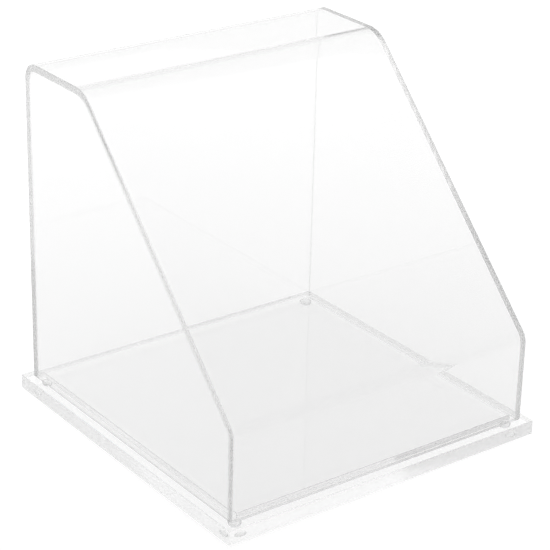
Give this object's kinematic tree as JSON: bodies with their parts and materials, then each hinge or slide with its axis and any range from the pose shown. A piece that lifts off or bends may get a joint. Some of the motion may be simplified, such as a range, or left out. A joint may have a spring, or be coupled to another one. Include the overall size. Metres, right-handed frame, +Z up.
{
  "type": "sneeze guard",
  "caption": "Clear acrylic slant-front sneeze guard: a bent-sheet cover with end panels lifts straight off a thick clear base with a locating plate and small feet.",
  "frame": {"origin": "middle of the plane of the feet's undersides, under the centre of the base plate", "axes": "+Z up, +X to the right as seen by somebody facing the slanted front, -Y out of the slanted front, +Y towards the upright back wall"},
  "size_m": [0.316, 0.316, 0.3058],
  "materials": {
    "cover_acrylic": "polished",
    "base_acrylic": "polished",
    "foot_rubber": "satin"
  },
  "bodies": {
    "base": {"base_plate": "base_acrylic", "locating_plate": "base_acrylic", "foot_front_left": "foot_rubber", "foot_front_right": "foot_rubber", "foot_back_left": "foot_rubber", "foot_back_right": "foot_rubber"},
    "cover": {"wrap_sheet": "cover_acrylic", "left_side_panel": "cover_acrylic", "right_side_panel": "cover_acrylic"}
  },
  "joints": [
    {"name": "cover_lift", "type": "slide", "parent": "base", "child": "cover", "axis": [0, 0, 1], "range_m": [0, 0.32]}
  ]
}
